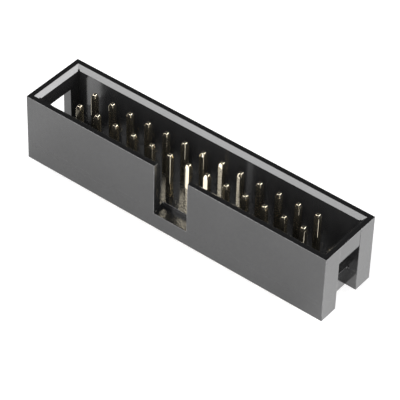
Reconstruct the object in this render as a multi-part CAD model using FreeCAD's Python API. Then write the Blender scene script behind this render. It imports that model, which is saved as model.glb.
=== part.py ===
"""Shrouded box header for a ribbon cable socket, standing on a circuit board.

A moulded housing holds two rows of square contact pins, which are pushed up into it from below.
The origin is the middle of the contact grid, on the board's surface. +X runs along the rows,
+Z points away from the board, and the key slot is in the -Y wall. Sizes are in millimetres.
"""
import FreeCAD
import Part
import os

# Contact grid
POSITIONS = 13
ROWS = 2
PITCH = 2.54

# Housing, outside
END_MARGIN = 5.08
BODY_WIDTH = 8.6
BODY_HEIGHT = 8.75
CORNER_RADIUS = 0.15

# Housing, the cavity that takes the socket
SIDE_WALL = 1.08
END_WALL = 1.08
FLOOR_TOP = 2.55
LEAD_IN = 0.5
CORNER_RELIEF_RADIUS = 0.12
CORNER_RELIEF_RISE = 0.18

# Key slot in the front wall, and the pocket that it leaves in the floor
KEY_WIDTH = 4.5
KEY_STEP = 0.55
KEY_POCKET_DEPTH = 0.6

# Slots in the two end walls, with a bridge across the top of each
END_SLOT_WIDTH = 3.65
BRIDGE_HEIGHT = 2.35
BRIDGE_RECESS = 0.03
SLAB_SETBACK = 0.31

# Stand-off relief under the floor
RELIEF_DEPTH = 0.4
RELIEF_RAIL = 1.3
RELIEF_END_PAD = 1.5
RELIEF_CORNER_RADIUS = 0.4

# Contact pins
PIN_SIZE = 0.64
PIN_EDGE_RADIUS = 0.06
TIP_BELOW_RIM = 0.52
TIP_ALONG_ROW = 0.36
TIP_ACROSS_ROWS = 0.43
TIP_LENGTH = 0.36
TAIL_LENGTH = 3.0
TAIL_TIP_SIZE = 0.4
TAIL_TIP_LENGTH = 0.35

# How a pin is held in its hole
HOLE_CLEARANCE = 0.02
HOLE_FUNNEL = 0.15
BARB_PROUD = 0.06
BARB_WIDTH = 0.4
BARB_LENGTH = 0.5

# How far a cutting tool runs past the face that it opens
OVERRUN = 1.0

# Sizes that follow from the ones above
BODY_LENGTH = (POSITIONS - 1) * PITCH + 2 * END_MARGIN
CAVITY_LENGTH = BODY_LENGTH - 2 * END_WALL
CAVITY_WIDTH = BODY_WIDTH - 2 * SIDE_WALL
SLAB_END = BODY_LENGTH / 2 - END_WALL - SLAB_SETBACK
LEAD_IN_FOOT = BODY_HEIGHT - LEAD_IN
SLOT_TOP = BODY_HEIGHT - BRIDGE_HEIGHT
TIP_TOP = BODY_HEIGHT - TIP_BELOW_RIM
BARB_FOOT = (RELIEF_DEPTH + FLOOR_TOP - BARB_LENGTH) / 2


def frustum(low_size, low, high_size, high):
    """An upright block around the Z axis. Its size, a length and a width, changes evenly with height."""
    low_x, low_y = low_size[0] / 2, low_size[1] / 2
    high_x, high_y = high_size[0] / 2, high_size[1] / 2
    wedge = Part.makeWedge(-low_x, low, -low_y, -high_y, -high_x, low_x, high, low_y, high_y, high_x)
    wedge.rotate(FreeCAD.Vector(0, 0, 0), FreeCAD.Vector(1, 0, 0), 90)
    return wedge


def rounded_block(size, low, high, radius):
    """An upright block around the Z axis, with its four upright edges rounded."""
    block = frustum(size, low, size, high)
    spans = [(edge, edge.BoundBox) for edge in block.Edges]
    upright = [edge for edge, span in spans if span.ZLength > span.XLength + span.YLength]
    return block.makeFillet(radius, upright)


def side_profile(outline, width):
    """A profile given by its X and Z, extruded along Y about the middle."""
    corners = [FreeCAD.Vector(x, -width / 2, z) for x, z in outline]
    return Part.Face(Part.makePolygon(corners + corners[:1])).extrude(FreeCAD.Vector(0, width, 0))


def moved(shape, x, y, z=0):
    """A copy of a shape, shifted."""
    copy = shape.copy()
    copy.translate(FreeCAD.Vector(x, y, z))
    return copy


def span_box(x_range, y_range, z_range):
    """A block between two values on each axis."""
    sizes = [high - low for low, high in (x_range, y_range, z_range)]
    return Part.makeBox(*sizes, FreeCAD.Vector(x_range[0], y_range[0], z_range[0]))


def contact_places():
    """Where each contact stands, counted along the rows in turn as the cable's wires are."""
    places = []
    for position in range(POSITIONS):
        for row in range(ROWS):
            x = (position - (POSITIONS - 1) / 2) * PITCH
            y = (row - (ROWS - 1) / 2) * PITCH
            places.append((x, y))
    return places


def cavity_tool():
    """The socket's cavity, with a lead-in around its mouth and a relief in each upright corner."""
    size = (CAVITY_LENGTH, CAVITY_WIDTH)
    well = frustum(size, FLOOR_TOP, size, LEAD_IN_FOOT)
    grow = 2 * (LEAD_IN + OVERRUN)
    mouth = frustum(size, LEAD_IN_FOOT, (CAVITY_LENGTH + grow, CAVITY_WIDTH + grow), BODY_HEIGHT + OVERRUN)
    relief_height = LEAD_IN_FOOT + CORNER_RELIEF_RISE - FLOOR_TOP
    relief = Part.makeCylinder(CORNER_RELIEF_RADIUS, relief_height, FreeCAD.Vector(0, 0, FLOOR_TOP))
    corners = [(sx * CAVITY_LENGTH / 2, sy * CAVITY_WIDTH / 2) for sx in (-1, 1) for sy in (-1, 1)]
    return well.multiFuse([mouth] + [moved(relief, x, y) for x, y in corners])


def key_slot_tool():
    """The slot for the socket's key, cut down past the floor and a little way into it."""
    inner_face = -CAVITY_WIDTH / 2
    return span_box((-KEY_WIDTH / 2, KEY_WIDTH / 2),
                    (-BODY_WIDTH / 2 - OVERRUN, inner_face + KEY_POCKET_DEPTH),
                    (FLOOR_TOP - KEY_STEP, BODY_HEIGHT + OVERRUN))


def end_slot_tools():
    """The slot in each end wall, open to the board, and the shallow recess over its bridge."""
    end_face = BODY_LENGTH / 2
    across = (-END_SLOT_WIDTH / 2, END_SLOT_WIDTH / 2)
    slot = span_box((SLAB_END, end_face + OVERRUN), across, (-OVERRUN, SLOT_TOP))
    bridge_face = end_face - BRIDGE_RECESS
    recess = span_box((bridge_face, end_face + OVERRUN), across, (SLOT_TOP, BODY_HEIGHT + OVERRUN))
    right = slot.fuse(recess)
    left = right.mirror(FreeCAD.Vector(0, 0, 0), FreeCAD.Vector(1, 0, 0))
    return [right, left]


def relief_tool():
    """The shallow space under the floor that keeps the plastic off the solder joints."""
    length = 2 * (SLAB_END - RELIEF_END_PAD)
    width = BODY_WIDTH - 2 * RELIEF_RAIL
    return rounded_block((length, width), -OVERRUN, RELIEF_DEPTH, RELIEF_CORNER_RADIUS)


def barbs():
    """The two barbs of a pin: flat below, so that the pin can't be pushed back, and sloping above."""
    x = PIN_SIZE / 2
    outline = [(x, BARB_FOOT), (x + BARB_PROUD, BARB_FOOT), (x, BARB_FOOT + BARB_LENGTH)]
    right = side_profile(outline, BARB_WIDTH)
    left = right.mirror(FreeCAD.Vector(0, 0, 0), FreeCAD.Vector(1, 0, 0))
    return [right, left]


def hole_tool():
    """The hole for one pin: a square bore, a funnel where the pin goes in, and the barbs' seats."""
    bore = PIN_SIZE + 2 * HOLE_CLEARANCE
    shaft = frustum((bore, bore), RELIEF_DEPTH, (bore, bore), FLOOR_TOP + OVERRUN)
    wide = bore + 2 * (HOLE_FUNNEL + OVERRUN)
    funnel = frustum((wide, wide), RELIEF_DEPTH - OVERRUN, (bore, bore), RELIEF_DEPTH + HOLE_FUNNEL)
    return shaft.multiFuse([funnel] + barbs())


def housing():
    """The moulded housing."""
    body = rounded_block((BODY_LENGTH, BODY_WIDTH), 0, BODY_HEIGHT, CORNER_RADIUS)
    body = body.cut([cavity_tool(), key_slot_tool(), relief_tool()] + end_slot_tools())
    hole = hole_tool()
    body = body.cut([moved(hole, x, y) for x, y in contact_places()])
    return body.removeSplitter()


def coined_space(tip_size):
    """What a pair of dies leaves of the wire, seen along Y: straight, with a taper at the tip and the tail."""
    half_outline = [(TAIL_TIP_SIZE / 2, -TAIL_LENGTH), (PIN_SIZE / 2, TAIL_TIP_LENGTH - TAIL_LENGTH),
                    (PIN_SIZE / 2, TIP_TOP - TIP_LENGTH), (tip_size / 2, TIP_TOP)]
    return side_profile(half_outline + [(-x, z) for x, z in reversed(half_outline)], 2 * PIN_SIZE)


def contact_pin():
    """One contact pin on the Z axis: rounded square wire, coined to a taper at both ends, with its barbs."""
    wire = rounded_block((PIN_SIZE, PIN_SIZE), -TAIL_LENGTH, TIP_TOP, PIN_EDGE_RADIUS)
    along_row = coined_space(TIP_ALONG_ROW)
    across_rows = coined_space(TIP_ACROSS_ROWS)
    across_rows.rotate(FreeCAD.Vector(0, 0, 0), FreeCAD.Vector(0, 0, 1), 90)
    coined = wire.common(along_row).common(across_rows)
    return coined.multiFuse(barbs()).removeSplitter()


def main():
    """Write one STEP file for each piece."""
    os.makedirs("parts", exist_ok=True)
    housing().exportStep("parts/housing.step")
    pin = contact_pin()
    for number, (x, y) in enumerate(contact_places(), start=1):
        moved(pin, x, y).exportStep("parts/contact_pin_%02d.step" % number)


main()
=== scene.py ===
import math

import bpy
from mathutils import Matrix, Vector


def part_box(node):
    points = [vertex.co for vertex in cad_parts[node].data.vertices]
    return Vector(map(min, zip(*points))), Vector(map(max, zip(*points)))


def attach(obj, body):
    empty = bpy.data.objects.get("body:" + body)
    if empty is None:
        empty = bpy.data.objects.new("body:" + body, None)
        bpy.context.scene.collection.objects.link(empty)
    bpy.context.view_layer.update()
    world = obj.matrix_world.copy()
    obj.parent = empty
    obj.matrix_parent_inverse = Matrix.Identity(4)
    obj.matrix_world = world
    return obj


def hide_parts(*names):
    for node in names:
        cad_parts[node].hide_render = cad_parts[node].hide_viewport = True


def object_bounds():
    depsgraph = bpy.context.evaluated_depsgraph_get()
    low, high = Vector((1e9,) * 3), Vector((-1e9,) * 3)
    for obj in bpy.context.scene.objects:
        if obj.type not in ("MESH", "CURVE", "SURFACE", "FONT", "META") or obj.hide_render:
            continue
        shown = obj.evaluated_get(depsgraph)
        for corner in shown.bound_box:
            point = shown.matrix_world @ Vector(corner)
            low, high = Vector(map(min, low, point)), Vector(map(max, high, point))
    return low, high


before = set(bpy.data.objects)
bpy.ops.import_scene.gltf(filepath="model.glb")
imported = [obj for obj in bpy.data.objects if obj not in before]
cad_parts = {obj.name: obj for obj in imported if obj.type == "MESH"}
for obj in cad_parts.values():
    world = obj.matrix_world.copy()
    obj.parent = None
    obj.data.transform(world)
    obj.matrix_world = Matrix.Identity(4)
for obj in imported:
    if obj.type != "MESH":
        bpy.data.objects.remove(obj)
cad_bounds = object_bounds()

# The looks of a shrouded box header: a black moulded housing and two rows of gold-plated contact pins.
# Pieces are modelled in millimetres, where the solids have them, and are brought to metres when they
# are finished. Lamps, camera and table are in metres from the start.

MM = 0.001

# Housing, in millimetres
RIM_WIDTH = 0.58
LEAD_IN = 0.5
FLOOR_TOP = 2.55
UPRIGHT_EDGE_RADIUS = 0.04
LEVEL_EDGE_RADIUS = 0.03
CORNER_RELIEF_RADIUS = 0.12
CORNER_RELIEF_RISE = 0.18
CORNER_RELIEF_SIDES = 24
KEY_WIDTH = 4.5
KEY_SILL = 2.0
KEY_POCKET_DEPTH = 0.6
END_SLOT_WIDTH = 3.65
END_SLOT_TOP = 6.4
BRIDGE_RECESS = 0.03
SLAB_SETBACK = 0.31
RELIEF_DEPTH = 0.4
RELIEF_RAIL = 1.3
RELIEF_END_PAD = 1.5
RELIEF_CORNER_RADIUS = 0.4
HOLE_SIZE = 0.68
HOLE_FUNNEL = 0.15
OVERRUN = 1.0

# Contact pins, in millimetres
PIN_SIZE = 0.64
PIN_EDGE_RADIUS = 0.06
TIP_EDGE_RADIUS = 0.035
TIP_ALONG_ROW = 0.36
TIP_ACROSS_ROWS = 0.43
TIP_LENGTH = 0.36
TAIL_TIP_SIZE = 0.4
TAIL_TIP_LENGTH = 0.35
BARB_PROUD = 0.06
BARB_WIDTH = 0.4
BARB_LENGTH = 0.5
BARB_FOOT = 1.225

# How finely the rounded edges are divided, from which angle an edge counts as one, up to which angle two
# faces count as flat, how near in millimetres two points count as one, and how firmly flat faces stay flat
ROUND_SEGMENTS = 4
SMALL_ROUND_SEGMENTS = 3
SHARP_ANGLE = math.radians(32)
FLAT_ANGLE = math.radians(0.5)
MERGE_DISTANCE = 0.0005
FLAT_FACE_WEIGHT = 100

# Finish of the moulding, with lengths in millimetres: how far a point may lie from the floor's height and
# still have the floor's finish, how far up from the feet the edges stay without the painted edge highlight,
# and half the height of the band below the floor's edge that gets the painted edge highlight
FLOOR_REACH = 0.01
FOOT_BAND = 1.0
STEP_BAND = 0.14
# How far in from an edge the painted edge highlight reaches
MOULDING_EDGE_HIGHLIGHT_REACH = 0.15
MOULDING_GRAIN_DEPTH = 0.034
MOULDING_PATCHES_PER_METRE = 120.0
MOULDING_GRAINS_PER_METRE = 3600.0
MOULDING_COLOUR = (0.019, 0.019, 0.0195, 1)
MOULDING_COLOUR_IN_PATCHES = (0.025, 0.025, 0.026, 1)
# Level faces are painted darker than upright ones: painted shade, where the lamps light the tops more than
# the walls
LEVEL_FACE_PAINTED_SHADE_COLOUR = (0.012, 0.012, 0.0125, 1)
# Pale grey painted along the outside edges: a painted highlight, broken up like wear
MOULDING_EDGE_HIGHLIGHT_COLOUR = (0.5, 0.5, 0.505, 1)
MOULDING_ROUGHNESS = (0.10, 0.17)
FLOOR_POLISH = 0.07
WALL_GRAIN = 0.02
FLOOR_GRAIN = 1.0
MOULDING_SHEEN = 0.5
MOULDING_SHEEN_ROUGHNESS = 0.15
MOULDING_IOR = 1.53
LEVEL_NORMAL = 0.95
SLOPING_NORMAL = 0.8

# Finish of the pins, with lengths in millimetres
GOLD_WEAR_REACH = 0.04
GOLD_PATCHES_PER_METRE = 2200.0
GOLD_GRAINS_PER_METRE = 9000.0
DRAWN_LINES_PER_METRE = 4000.0
FINE_DRAWN_LINES_PER_METRE = 16000.0
DRAWN_LINE_STRETCH = 0.04
DRAWN_LINE_DEPTH = 0.01
DRAWN_LINE_STRENGTH = 0.006
GOLD_COLOUR = (0.93, 0.84, 0.64, 1)
GOLD_COLOUR_IN_PATCHES = (0.95, 0.865, 0.70, 1)
WORN_GOLD_COLOUR = (0.95, 0.86, 0.69, 1)
GOLD_METALLIC = 0.98
GOLD_ROUGHNESS = (0.03, 0.06)

# Patterns that both finishes use
PATCH_DETAIL = 3.0
GRAIN_DETAIL = 2.0
WEAR_SAMPLES = 6
FLAT_TURN = 1.0
EDGE_TURN = 0.9

# Camera
CAMERA_AIM = Vector((-0.24, 1.25, 1.26)) * MM
CAMERA_DISTANCE = 250.1 * MM
CAMERA_AZIMUTH = math.radians(37.214)
CAMERA_ELEVATION = math.radians(42.056)
CAMERA_ROLL = math.radians(1.857)
LENS_MM = 206.38
SENSOR_MM = 36.0

# Table and lamps, in metres and watts
TABLE_SIZE = 4.0
TABLE_WHITE = 0.8
TABLE_SEEN_BY_CAMERA = 0.59
TABLE_SHADED_IN_GLOSS = 0.45
TABLE_SEEN_IN_GLOSS = 1.05
SHADE_REACH = 0.015
SHADE_RIGHT_END = 0.014
SHADE_FADE_AT_ENDS = 2.5
LAMP_DISTANCE = 0.6
SOFT_BOX_SIZE = 0.25
FRONT_BOX_DIRECTION = Vector((-0.510, -0.683, 0.523))
FRONT_BOX_WATTS = 1.1
UPPER_BOX_DIRECTION = Vector((-0.449, -0.591, 0.670))
UPPER_BOX_WATTS = 0.35
BACK_BOX_DIRECTION = Vector((0.670, 0.591, 0.449))
BACK_BOX_WATTS = 1.87
FILL_SIZE = 0.7
FILL_DIRECTION = Vector((0.36, -0.62, 0.70))
FILL_WATTS = 3.2
SKY_LOW = 1.0
SKY_HIGH = 0.05
SKY_FADE_START = 0.12
SKY_FADE_END = 0.42


# Modelling

def deselect_all():
    """Start from nothing selected, because the loaded nodes come in selected."""
    bpy.ops.object.select_all(action="DESELECT")


def only(piece):
    """Select one piece and make it the active one."""
    deselect_all()
    piece.select_set(True)
    bpy.context.view_layer.objects.active = piece


def block(name, low, high):
    """A new block between two corners."""
    deselect_all()
    low, high = Vector(low), Vector(high)
    bpy.ops.mesh.primitive_cube_add(size=1, location=(low + high) / 2, scale=high - low)
    made = bpy.context.object
    made.name = name
    bpy.ops.object.transform_apply(location=True, rotation=True, scale=True)
    return made


def edit_faces(piece, wanted):
    """Go into edit mode with just the wanted faces selected, by their centre and normal."""
    only(piece)
    bpy.ops.object.mode_set(mode="EDIT")
    bpy.ops.mesh.select_mode(type="FACE")
    bpy.ops.mesh.select_all(action="DESELECT")
    bpy.ops.object.mode_set(mode="OBJECT")
    for face in piece.data.polygons:
        face.select = wanted(face.center, face.normal)
    bpy.ops.object.mode_set(mode="EDIT")


def edit_edges(piece, wanted):
    """Go into edit mode with just the wanted edges selected, by their two ends."""
    only(piece)
    bpy.ops.object.mode_set(mode="EDIT")
    bpy.ops.mesh.select_mode(type="EDGE")
    bpy.ops.mesh.select_all(action="DESELECT")
    bpy.ops.object.mode_set(mode="OBJECT")
    places = [vertex.co for vertex in piece.data.vertices]
    for edge in piece.data.edges:
        edge.select = wanted(*[places[end] for end in edge.vertices])
    bpy.ops.object.mode_set(mode="EDIT")


def leave_edit():
    """Back to object mode."""
    bpy.ops.object.mode_set(mode="OBJECT")


def taper_out(distance, scale_x, scale_y):
    """Extrude the selected face along Z, and change its size as it goes."""
    bpy.ops.mesh.extrude_region_move(TRANSFORM_OT_translate={"value": (0, 0, distance)})
    bpy.ops.transform.resize(value=(scale_x, scale_y, 1))


def cut(piece, tool):
    """Cut a tool out of a piece, and throw the tool away."""
    combine(piece, tool, "DIFFERENCE")


def combine(piece, tool, operation):
    """Combine a piece with a tool, and throw the tool away."""
    only(piece)
    step = piece.modifiers.new("combine", "BOOLEAN")
    step.object = tool
    step.operation = operation
    step.solver = "EXACT"
    bpy.ops.object.modifier_apply(modifier=step.name)
    bpy.data.objects.remove(tool)


def join_flat_faces(piece):
    """Clear away the edges that lie flat in a face."""
    edit_faces(piece, lambda centre, normal: True)
    bpy.ops.mesh.remove_doubles(threshold=MERGE_DISTANCE)
    bpy.ops.mesh.dissolve_limited(angle_limit=FLAT_ANGLE)
    leave_edit()


def sharp_outside_edges(piece):
    """The edges where two faces meet at an outside corner. A mould leaves the inside corners sharp."""
    faces_at = {}
    for face in piece.data.polygons:
        for key in face.edge_keys:
            faces_at.setdefault(key, []).append(face)
    outside = []
    for edge in piece.data.edges:
        first, second = faces_at[edge.key]
        away = (second.center - first.center).dot(first.normal) < 0
        if away and first.normal.angle(second.normal) > SHARP_ANGLE:
            outside.append(edge)
    return outside


def round_edges(piece, radii, segments):
    """Round edges of a piece, each by its own radius, all in one step."""
    largest = max(radii.values())
    weights = piece.data.attributes.new("bevel_weight_edge", "FLOAT", "EDGE")
    for index, radius in radii.items():
        weights.data[index].value = radius / largest
    only(piece)
    step = piece.modifiers.new("rounded edges", "BEVEL")
    step.limit_method = "WEIGHT"
    step.width = largest
    step.segments = segments
    step.use_clamp_overlap = False
    bpy.ops.object.modifier_apply(modifier=step.name)


def finish_surface(piece):
    """Shade the rounded edges smoothly while the flat faces stay flat, and bring the piece to metres."""
    only(piece)
    bpy.ops.object.shade_smooth_by_angle(angle=SHARP_ANGLE)
    piece.scale = (MM, MM, MM)
    bpy.ops.object.transform_apply(location=False, rotation=False, scale=True)
    step = piece.modifiers.new("flat faces", "WEIGHTED_NORMAL")
    step.weight = FLAT_FACE_WEIGHT
    step.keep_sharp = True
    bpy.ops.object.modifier_apply(modifier=step.name)


def pin_nodes():
    """The names of the contact pins' nodes, in order."""
    return sorted(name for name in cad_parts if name.startswith("contact_pin"))


def pin_place(node):
    """Where a pin stands on the board, in millimetres."""
    low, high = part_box(node)
    return Vector(((low.x + high.x) / 2, (low.y + high.y) / 2, 0)) / MM


# The moulded housing

def housing_block(low, high):
    """The block with its cavity: a rim, a lead-in that slopes at 45 degrees, and walls down to the floor."""
    made = block("moulded_housing", low, high)
    edit_faces(made, lambda centre, normal: normal.z > 0.5)
    bpy.ops.mesh.inset(thickness=RIM_WIDTH, depth=0)
    bpy.ops.mesh.inset(thickness=LEAD_IN, depth=-LEAD_IN)
    bpy.ops.mesh.extrude_region_move(TRANSFORM_OT_translate={"value": (0, 0, FLOOR_TOP - high.z + LEAD_IN)})
    leave_edit()
    return made


def cut_key_slot(housing, low, high):
    """The slot for the socket's key, through the front wall and a little way into the floor."""
    inner_wall = low.y + RIM_WIDTH + LEAD_IN
    cut(housing, block("key_tool", (-KEY_WIDTH / 2, low.y - OVERRUN, KEY_SILL),
                       (KEY_WIDTH / 2, inner_wall + KEY_POCKET_DEPTH, high.z + OVERRUN)))


def cut_end_slots(housing, high):
    """The slot in each end wall, open to the board."""
    half = END_SLOT_WIDTH / 2
    slab_end = high.x - RIM_WIDTH - LEAD_IN - SLAB_SETBACK
    for side in (-1, 1):
        near, far = sorted((side * slab_end, side * (high.x + OVERRUN)))
        cut(housing, block("slot_tool", (near, -half, -OVERRUN), (far, half, END_SLOT_TOP)))


def cut_bridge_recess(housing, high):
    """The face of each bridge, which the mould's slide leaves a little behind the face beside it."""
    half = END_SLOT_WIDTH / 2
    for side in (-1, 1):
        near, far = sorted((side * (high.x - BRIDGE_RECESS), side * (high.x + OVERRUN)))
        cut(housing, block("recess_tool", (near, -half, END_SLOT_TOP + LEVEL_EDGE_RADIUS),
                           (far, half, high.z - LEVEL_EDGE_RADIUS)))


def cut_relief(housing, high):
    """The shallow space under the floor that keeps the plastic off the solder joints."""
    half_length = high.x - RIM_WIDTH - LEAD_IN - SLAB_SETBACK - RELIEF_END_PAD
    half_width = high.y - RELIEF_RAIL
    tool = block("relief_tool", (-half_length, -half_width, -OVERRUN),
                 (half_length, half_width, RELIEF_DEPTH))
    edit_edges(tool, lambda a, b: abs(a.z - b.z) > OVERRUN)
    bpy.ops.mesh.bevel(offset=RELIEF_CORNER_RADIUS, segments=ROUND_SEGMENTS, affect="EDGES")
    leave_edit()
    cut(housing, tool)


def round_housing_edges(housing):
    """Round the housing's outside edges: the upright ones most, where the mould's inserts meet."""
    places = [vertex.co.z for vertex in housing.data.vertices]
    radii = {}
    for edge in sharp_outside_edges(housing):
        first, second = [places[end] for end in edge.vertices]
        level = abs(first - second) < MERGE_DISTANCE
        radii[edge.index] = LEVEL_EDGE_RADIUS if level else UPRIGHT_EDGE_RADIUS
    round_edges(housing, radii, ROUND_SEGMENTS)


def corner_relief_tools(high):
    """The round reliefs down the cavity's four upright corners."""
    top = high.z - LEAD_IN + CORNER_RELIEF_RISE
    x = high.x - RIM_WIDTH - LEAD_IN
    y = high.y - RIM_WIDTH - LEAD_IN
    tools = []
    for place in ((x, y), (x, -y), (-x, y), (-x, -y)):
        deselect_all()
        bpy.ops.mesh.primitive_cylinder_add(vertices=CORNER_RELIEF_SIDES, radius=CORNER_RELIEF_RADIUS,
                                            depth=top - FLOOR_TOP, location=(*place, (top + FLOOR_TOP) / 2))
        tools.append(bpy.context.object)
        bpy.ops.object.transform_apply(location=True, rotation=True, scale=True)
    return tools


def pin_hole_tools():
    """The pins' square holes, each with a funnel below where its pin goes in."""
    half = HOLE_SIZE / 2
    funnel_top = RELIEF_DEPTH + HOLE_FUNNEL
    first = block("hole_tool", (-half, -half, funnel_top), (half, half, FLOOR_TOP + OVERRUN))
    edit_faces(first, lambda centre, normal: normal.z < -0.5)
    grow = HOLE_FUNNEL + OVERRUN
    flare = (half + grow) / half
    taper_out(-grow, flare, flare)
    leave_edit()
    tools = []
    for node in pin_nodes():
        tool = bpy.data.objects.new("hole_tool", first.data.copy())
        bpy.context.collection.objects.link(tool)
        tool.data.transform(Matrix.Translation(pin_place(node)))
        tools.append(tool)
    bpy.data.objects.remove(first)
    return tools


def join(pieces):
    """Several pieces as one, which keeps the first one's name."""
    deselect_all()
    for piece in pieces:
        piece.select_set(True)
    bpy.context.view_layer.objects.active = pieces[0]
    bpy.ops.object.join()
    return pieces[0]


def model_housing():
    """The whole housing, in place."""
    low, high = [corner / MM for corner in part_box("housing")]
    housing = housing_block(low, high)
    cut_key_slot(housing, low, high)
    cut_end_slots(housing, high)
    cut_relief(housing, high)
    join_flat_faces(housing)
    round_housing_edges(housing)
    cut_bridge_recess(housing, high)
    cut(housing, join(corner_relief_tools(high)))
    for tool in pin_hole_tools():
        cut(housing, tool)
    finish_surface(housing)
    return housing


# The contact pins

def add_barbs(pin):
    """The two barbs that hold a pin in its hole: flat below and sloping above."""
    half = PIN_SIZE / 2
    for side in (-1, 1):
        inner, outer = sorted((0, side * (half + BARB_PROUD)))
        barb = block("barb", (inner, -BARB_WIDTH / 2, BARB_FOOT),
                     (outer, BARB_WIDTH / 2, BARB_FOOT + BARB_LENGTH))
        edit_edges(barb, lambda a, b: min(a.z, b.z) > BARB_FOOT and min(side * a.x, side * b.x) > half)
        bpy.ops.transform.translate(value=(-side * BARB_PROUD, 0, 0))
        leave_edit()
        combine(pin, barb, "UNION")


def round_pin_edges(pin):
    """Round the wire's long edges, and more finely the edges that the tip and tail dies leave."""
    places = [vertex.co.z for vertex in pin.data.vertices]
    radii = {}
    for edge in pin.data.edges:
        first, second = [places[end] for end in edge.vertices]
        level = abs(first - second) < MERGE_DISTANCE
        radii[edge.index] = TIP_EDGE_RADIUS if level else PIN_EDGE_RADIUS
    round_edges(pin, radii, SMALL_ROUND_SEGMENTS)


def model_pin(low, high):
    """One pin on the Z axis: square wire, tapered at both ends, with rounded edges."""
    half = PIN_SIZE / 2
    pin = block("pin", (-half, -half, low.z + TAIL_TIP_LENGTH), (half, half, high.z - TIP_LENGTH))
    edit_faces(pin, lambda centre, normal: normal.z > 0.5)
    taper_out(TIP_LENGTH, TIP_ALONG_ROW / PIN_SIZE, TIP_ACROSS_ROWS / PIN_SIZE)
    leave_edit()
    edit_faces(pin, lambda centre, normal: normal.z < -0.5)
    taper_out(-TAIL_TIP_LENGTH, TAIL_TIP_SIZE / PIN_SIZE, TAIL_TIP_SIZE / PIN_SIZE)
    leave_edit()
    round_pin_edges(pin)
    add_barbs(pin)
    finish_surface(pin)
    return pin


def model_pins():
    """All the pins, each with its own mesh, named as their nodes are."""
    nodes = pin_nodes()
    low, high = [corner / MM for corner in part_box(nodes[0])]
    first = model_pin(low, high)
    pins = []
    for node in nodes:
        pin = bpy.data.objects.new(node.replace("contact_pin", "gold_pin"), first.data.copy())
        bpy.context.collection.objects.link(pin)
        pin.data.transform(Matrix.Translation(pin_place(node) * MM))
        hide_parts(node)
        pins.append(pin)
    bpy.data.objects.remove(first)
    return pins


# Materials

class Graph:
    """Adds nodes to a tree and joins them, so that a material reads from its pattern to its surface."""

    def __init__(self, tree):
        self.tree = tree
        self.tree.nodes.clear()

    def add(self, kind, inputs=None, **settings):
        """A new node. Each input is another node's output, which is linked, or a value, which is set."""
        made = self.tree.nodes.new(kind)
        for name, setting in settings.items():
            setattr(made, name, setting)
        for socket, value in (inputs or {}).items():
            if isinstance(value, bpy.types.NodeSocket):
                self.tree.links.new(value, made.inputs[socket])
            else:
                made.inputs[socket].default_value = value
        return made

    def math(self, operation, first, second=0.0, clamp=False):
        """The result of a sum on one or two values."""
        made = self.add("ShaderNodeMath", {0: first, 1: second}, operation=operation, use_clamp=clamp)
        return made.outputs[0]

    def near(self, value, target, reach):
        """1 where a value is within reach of a target, and 0 elsewhere."""
        return self.add("ShaderNodeMath", {0: value, 1: target, 2: reach}, operation="COMPARE").outputs[0]

    def between(self, mask, low, high):
        """A value that goes from low to high as a mask goes from 0 to 1."""
        made = self.add("ShaderNodeMapRange", {"Value": mask, "To Min": low, "To Max": high})
        return made.outputs["Result"]

    def ramp(self, value, start, end):
        """A mask that goes from 0 to 1 as a value goes from start to end."""
        made = self.add("ShaderNodeMapRange", {"Value": value, "From Min": start, "From Max": end})
        return made.outputs["Result"]

    def parts(self, vector):
        """The X, Y and Z of a place or a direction."""
        return self.add("ShaderNodeSeparateXYZ", {"Vector": vector}).outputs

    def blend(self, mask, first, second):
        """A colour that goes from the first to the second as a mask goes from 0 to 1.

        The node has sockets for values and vectors too, so its colours are found by their numbers.
        """
        return self.add("ShaderNodeMix", {0: mask, 6: first, 7: second}, data_type="RGBA").outputs[2]

    def effect(self, group, **inputs):
        """A shared effect, with this material's own values."""
        named = {name.replace("_", " "): value for name, value in inputs.items()}
        return self.add("ShaderNodeGroup", named, node_tree=group).outputs


def new_effect(name, inputs, outputs):
    """An empty node group with named values going in and coming out."""
    group = bpy.data.node_groups.new(name, "ShaderNodeTree")
    for socket_name, default in inputs.items():
        kind = "NodeSocketVector" if isinstance(default, tuple) else "NodeSocketFloat"
        socket = group.interface.new_socket(name=socket_name, in_out="INPUT", socket_type=kind)
        socket.default_value = default
    for socket_name in outputs:
        group.interface.new_socket(name=socket_name, in_out="OUTPUT", socket_type="NodeSocketFloat")
    return group


def uneven_surface_effect():
    """Broad mottling and fine grain, as masks from 0 to 1, from a piece's own coordinates."""
    given_values = {"Place": (0.0, 0.0, 0.0), "Patches per metre": MOULDING_PATCHES_PER_METRE,
                    "Grains per metre": MOULDING_GRAINS_PER_METRE}
    group = new_effect("uneven surface", given_values, ["Patches", "Grain"])
    graph = Graph(group)
    given = graph.add("NodeGroupInput").outputs
    patches = graph.add("ShaderNodeTexNoise", {"Vector": given["Place"], "Scale": given["Patches per metre"],
                                               "Detail": PATCH_DETAIL})
    grain = graph.add("ShaderNodeTexNoise", {"Vector": given["Place"], "Scale": given["Grains per metre"],
                                             "Detail": GRAIN_DETAIL})
    graph.add("NodeGroupOutput", {"Patches": patches.outputs["Fac"], "Grain": grain.outputs["Fac"]})
    return group


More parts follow.
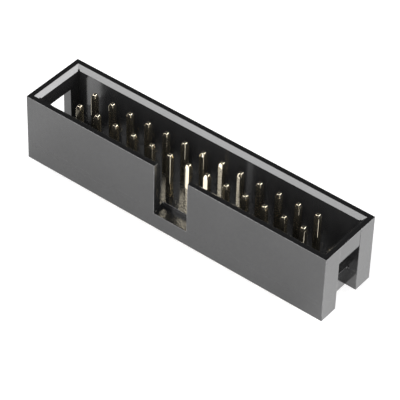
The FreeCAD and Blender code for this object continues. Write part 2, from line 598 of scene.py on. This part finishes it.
# Shared by the moulding's painted edge highlight and the pins' edge wear
def edge_highlight_and_wear_effect():
    """A mask that is 1 along the edges, broken up by a pattern."""
    group = new_effect("edge highlight and wear", {"Reach": MOULDING_EDGE_HIGHLIGHT_REACH * MM, "Breakup": 1.0}, ["Along edges"])
    graph = Graph(group)
    given = graph.add("NodeGroupInput").outputs
    rounded = graph.add("ShaderNodeBevel", {"Radius": given["Reach"]}, samples=WEAR_SAMPLES)
    flat = graph.add("ShaderNodeNewGeometry")
    turned = graph.add("ShaderNodeVectorMath", {0: rounded.outputs["Normal"], 1: flat.outputs["Normal"]},
                       operation="DOT_PRODUCT")
    edge = graph.ramp(turned.outputs["Value"], FLAT_TURN, EDGE_TURN)
    graph.add("NodeGroupOutput", {"Along edges": graph.math("MULTIPLY", edge, given["Breakup"], clamp=True)})
    return group


def finished_material(name, build):
    """A new material, whose nodes another function makes."""
    material = bpy.data.materials.new(name)
    material.use_nodes = True
    graph = Graph(material.node_tree)
    graph.add("ShaderNodeOutputMaterial", {"Surface": build(graph)})
    return material


def upright_faces(graph):
    """A mask that is 1 on upright and steep faces and 0 on level ones."""
    normal = graph.add("ShaderNodeNewGeometry").outputs["Normal"]
    return graph.ramp(graph.parts(normal)["Z"], LEVEL_NORMAL, SLOPING_NORMAL)


def grained_floors(graph, place):
    """A mask of the two floors on which the mould's spark-eroded core leaves a coarse grain."""
    height = graph.parts(place)["Z"]
    floor = graph.near(height, FLOOR_TOP * MM, FLOOR_REACH * MM)
    sill = graph.near(height, KEY_SILL * MM, FLOOR_REACH * MM)
    return graph.math("MAXIMUM", floor, sill)


def edge_highlight_places(graph, place):
    """A mask of where edges get the painted highlight: outside the mouth and at the floor's step, but not at
    the feet.
    """
    along, across, height = graph.parts(place)
    mouth = cad_bounds[1] - Vector((RIM_WIDTH, RIM_WIDTH, 0)) * MM
    past_mouth_ends = graph.math("GREATER_THAN", graph.math("ABSOLUTE", along), mouth.x)
    past_mouth_sides = graph.math("GREATER_THAN", graph.math("ABSOLUTE", across), mouth.y)
    outside = graph.math("MAXIMUM", past_mouth_ends, past_mouth_sides)
    step = graph.near(height, (FLOOR_TOP - STEP_BAND) * MM, STEP_BAND * MM)
    above_feet = graph.ramp(height, FOOT_BAND * MM / 2, FOOT_BAND * MM)
    return graph.math("MULTIPLY", graph.math("MAXIMUM", outside, step), above_feet)


def black_moulding(uneven, edge_highlight_and_wear):
    """Black moulded thermoplastic: near black, glossy and faintly mottled, with painted edge highlights and
    painted shade on level faces.
    """
    def build(graph):
        place = graph.add("ShaderNodeTexCoord").outputs["Object"]
        surface = graph.effect(uneven, Place=place, Patches_per_metre=MOULDING_PATCHES_PER_METRE,
                               Grains_per_metre=MOULDING_GRAINS_PER_METRE)
        upright = upright_faces(graph)
        on_floor = grained_floors(graph, place)
        # Painted highlight: pale grey along the outside edges and the floor's step, broken up by the grain
        edge_highlight = graph.math("MULTIPLY", upright, edge_highlight_places(graph, place))
        breakup = graph.math("MULTIPLY", edge_highlight, surface["Grain"])
        edge_mask = graph.effect(edge_highlight_and_wear, Reach=MOULDING_EDGE_HIGHLIGHT_REACH * MM, Breakup=breakup)["Along edges"]
        moulded = graph.blend(surface["Patches"], MOULDING_COLOUR, MOULDING_COLOUR_IN_PATCHES)
        # Painted shade: level faces get a darker colour than upright ones
        skin_with_painted_shade = graph.blend(upright, LEVEL_FACE_PAINTED_SHADE_COLOUR, moulded)
        colour = graph.blend(edge_mask, skin_with_painted_shade, MOULDING_EDGE_HIGHLIGHT_COLOUR)
        roughness = graph.math("SUBTRACT", graph.between(surface["Patches"], *MOULDING_ROUGHNESS),
                               graph.math("MULTIPLY", on_floor, FLOOR_POLISH))
        mottle = graph.math("ADD", surface["Patches"], surface["Grain"])
        sheen = graph.between(graph.math("MULTIPLY", mottle, 0.5), 0.0, MOULDING_SHEEN)
        relief = graph.math("MULTIPLY", surface["Grain"], graph.between(on_floor, WALL_GRAIN, FLOOR_GRAIN))
        bump = graph.add("ShaderNodeBump", {"Height": relief, "Strength": 1.0,
                                            "Distance": MOULDING_GRAIN_DEPTH * MM})
        plastic = graph.add("ShaderNodeBsdfPrincipled", {
            "Base Color": colour, "Roughness": roughness, "IOR": MOULDING_IOR, "Coat Weight": sheen,
            "Coat Roughness": MOULDING_SHEEN_ROUGHNESS, "Normal": bump.outputs["Normal"]})
        return plastic.outputs["BSDF"]
    return finished_material("black moulding", build)


def gold_plating(uneven, edge_highlight_and_wear):
    """Thin gold over drawn square wire: fine lines along the pin, and a paler tone in patches."""
    def build(graph):
        place = graph.add("ShaderNodeTexCoord").outputs["Object"]
        stretch = (1.0, 1.0, DRAWN_LINE_STRETCH)
        along_wire = graph.add("ShaderNodeMapping", {"Vector": place, "Scale": stretch})
        surface = graph.effect(uneven, Place=place, Patches_per_metre=GOLD_PATCHES_PER_METRE,
                               Grains_per_metre=GOLD_GRAINS_PER_METRE)
        drawn = graph.effect(uneven, Place=along_wire.outputs["Vector"],
                             Patches_per_metre=DRAWN_LINES_PER_METRE,
                             Grains_per_metre=FINE_DRAWN_LINES_PER_METRE)
        edge_mask = graph.effect(edge_highlight_and_wear, Reach=GOLD_WEAR_REACH * MM, Breakup=surface["Patches"])["Along edges"]
        plated = graph.blend(surface["Patches"], GOLD_COLOUR, GOLD_COLOUR_IN_PATCHES)
        colour = graph.blend(edge_mask, plated, WORN_GOLD_COLOUR)
        roughness = graph.between(drawn["Grain"], *GOLD_ROUGHNESS)
        bump = graph.add("ShaderNodeBump", {"Height": drawn["Patches"], "Strength": DRAWN_LINE_STRENGTH,
                                            "Distance": DRAWN_LINE_DEPTH * MM})
        metal = graph.add("ShaderNodeBsdfPrincipled", {
            "Base Color": colour, "Metallic": GOLD_METALLIC, "Roughness": roughness,
            "Normal": bump.outputs["Normal"]})
        return metal.outputs["BSDF"]
    return finished_material("gold plating", build)


def beyond(graph, coordinate, low, high, scale=1.0):
    """How far a coordinate lies below a low limit or above a high one, scaled."""
    below = graph.math("SUBTRACT", low, coordinate)
    above = graph.math("SUBTRACT", coordinate, high)
    past = graph.math("MAXIMUM", graph.math("MAXIMUM", below, above), 0.0)
    return graph.math("MULTIPLY", past, scale)


def distance_from_header(graph):
    """How far a point of the table lies from the header, which counts for more at the two ends."""
    place = graph.parts(graph.add("ShaderNodeTexCoord").outputs["Object"])
    past_end = beyond(graph, place["X"], cad_bounds[0].x, SHADE_RIGHT_END, SHADE_FADE_AT_ENDS)
    past_side = beyond(graph, place["Y"], cad_bounds[0].y, cad_bounds[1].y)
    squares = graph.math("ADD", graph.math("POWER", past_end, 2.0), graph.math("POWER", past_side, 2.0))
    return graph.math("SQRT", squares)


def white_table():
    """A white table. The camera and glossy surfaces see it lighter, and it keeps the shadow.

    Glossy surfaces see it darker close to the header, which shades it most along its two long sides.
    From below, the camera sees through it to the header's underside.
    """
    def build(graph):
        away = graph.ramp(distance_from_header(graph), 0.0, SHADE_REACH)
        ray = graph.add("ShaderNodeLightPath").outputs
        reflected = graph.math("MAXIMUM", ray["Is Glossy Ray"], ray["Is Transmission Ray"])
        shaded = graph.between(away, TABLE_SHADED_IN_GLOSS, TABLE_SEEN_IN_GLOSS)
        in_gloss = graph.math("MULTIPLY", reflected, shaded)
        seen = graph.math("MULTIPLY", ray["Is Camera Ray"], TABLE_SEEN_BY_CAMERA)
        glow = graph.add("ShaderNodeEmission", {"Strength": graph.math("ADD", in_gloss, seen)})
        matt = graph.add("ShaderNodeBsdfDiffuse", {"Color": (TABLE_WHITE, TABLE_WHITE, TABLE_WHITE, 1)})
        top = graph.add("ShaderNodeAddShader", {0: matt.outputs[0], 1: glow.outputs[0]})
        underside = graph.add("ShaderNodeNewGeometry").outputs["Backfacing"]
        from_below = graph.math("MULTIPLY", underside, ray["Is Camera Ray"])
        clear = graph.add("ShaderNodeBsdfTransparent")
        both = graph.add("ShaderNodeMixShader", {0: from_below, 1: top.outputs[0], 2: clear.outputs[0]})
        return both.outputs[0]
    return finished_material("white table", build)


# Table, lamps and camera

def make_table():
    """The table that the header stands on, at the ends of its tails."""
    deselect_all()
    bpy.ops.mesh.primitive_plane_add(size=TABLE_SIZE, location=(0, 0, cad_bounds[0].z))
    table = bpy.context.object
    table.name = "table"
    bpy.ops.object.transform_apply(location=True, rotation=True, scale=True)
    table.data.materials.append(white_table())


def make_lamp(name, direction, watts, size=SOFT_BOX_SIZE, seen_in_gloss=True):
    """A square soft box that faces the header."""
    light = bpy.data.lights.new(name, "AREA")
    light.shape = "SQUARE"
    light.size = size
    light.energy = watts
    lamp = bpy.data.objects.new(name, light)
    bpy.context.collection.objects.link(lamp)
    lamp.location = direction.normalized() * LAMP_DISTANCE
    lamp.rotation_euler = direction.to_track_quat("Z", "Y").to_euler()
    lamp.visible_camera = False
    lamp.visible_glossy = seen_in_gloss


def make_sky():
    """A pale backdrop near the horizon that fades to a dim ceiling. The camera sees it white."""
    world = bpy.data.worlds.new("studio")
    bpy.context.scene.world = world
    world.use_nodes = True
    graph = Graph(world.node_tree)
    height = graph.parts(graph.add("ShaderNodeTexCoord").outputs["Generated"])["Z"]
    sky = graph.between(graph.ramp(height, SKY_FADE_START, SKY_FADE_END), SKY_LOW, SKY_HIGH)
    camera_ray = graph.add("ShaderNodeLightPath").outputs["Is Camera Ray"]
    background = graph.add("ShaderNodeBackground", {"Strength": graph.math("MAXIMUM", sky, camera_ray)})
    graph.add("ShaderNodeOutputWorld", {"Surface": background.outputs["Background"]})


def make_camera():
    """The photo's view: from above the front right corner, turned a little about its own axis."""
    level = math.cos(CAMERA_ELEVATION)
    back = Vector((math.sin(CAMERA_AZIMUTH) * level, -math.cos(CAMERA_AZIMUTH) * level,
                   math.sin(CAMERA_ELEVATION)))
    camera = bpy.data.objects.new("camera", bpy.data.cameras.new("camera"))
    bpy.context.collection.objects.link(camera)
    camera.data.lens = LENS_MM
    camera.data.sensor_width = SENSOR_MM
    turn = back.to_track_quat("Z", "Y").to_matrix() @ Matrix.Rotation(CAMERA_ROLL, 3, "Z")
    camera.matrix_world = Matrix.Translation(CAMERA_AIM + back * CAMERA_DISTANCE) @ turn.to_4x4()
    bpy.context.scene.camera = camera


def make_header():
    """The header itself: the housing and its pins, with their finishes."""
    uneven = uneven_surface_effect()
    edge_highlight_and_wear = edge_highlight_and_wear_effect()
    housing = model_housing()
    housing.data.materials.append(black_moulding(uneven, edge_highlight_and_wear))
    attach(housing, "root")
    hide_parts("housing")
    gold = gold_plating(uneven, edge_highlight_and_wear)
    for pin in model_pins():
        pin.data.materials.append(gold)
        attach(pin, "root")


make_camera()
make_header()
make_table()
make_lamp("front soft box", FRONT_BOX_DIRECTION, FRONT_BOX_WATTS)
make_lamp("upper front soft box", UPPER_BOX_DIRECTION, UPPER_BOX_WATTS)
make_lamp("back soft box", BACK_BOX_DIRECTION, BACK_BOX_WATTS)
make_lamp("fill light", FILL_DIRECTION, FILL_WATTS, size=FILL_SIZE, seen_in_gloss=False)
make_sky()
bpy.context.scene.view_settings.view_transform = "Standard"
